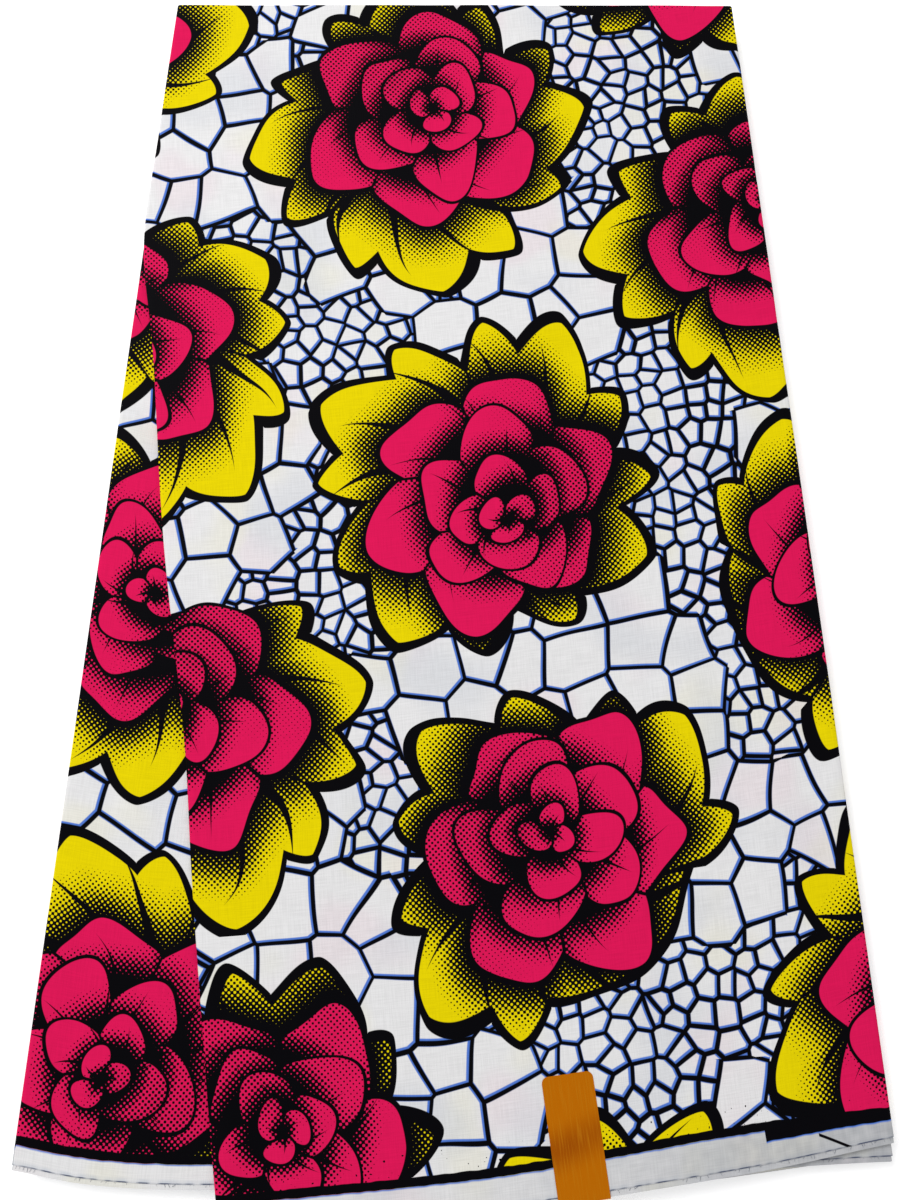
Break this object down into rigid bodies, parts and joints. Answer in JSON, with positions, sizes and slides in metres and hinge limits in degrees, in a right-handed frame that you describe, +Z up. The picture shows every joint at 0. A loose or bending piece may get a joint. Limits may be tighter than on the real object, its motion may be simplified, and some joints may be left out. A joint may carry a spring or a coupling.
{
  "type": "wax print fabric",
  "caption": "Length of printed cotton cloth folded into a flat pack, its top panel swung round on the fanned panel below, with a plain foil sticker on the selvedge.",
  "frame": {"origin": "middle of the flat underside, at the centre of the pack's outline box", "axes": "+Y towards the doubled fold at the back, +X to the right seen from the selvedges, +Z up"},
  "size_m": [0.396, 0.6326, 0.0153],
  "materials": {
    "printed_cotton": "plain-weave cotton, white ground with a dark blue crackle net and pink flowers with yellow leaves in halftone",
    "folded_layers": "edges of the same printed cotton, stacked",
    "foil_label": "gold-orange foil sticker with a satin gloss, bare"
  },
  "bodies": {
    "root": {"hidden_layers": "folded_layers", "under_panel": "printed_cotton", "top_panel": "printed_cotton", "label": "foil_label"}
  },
  "joints": []
}
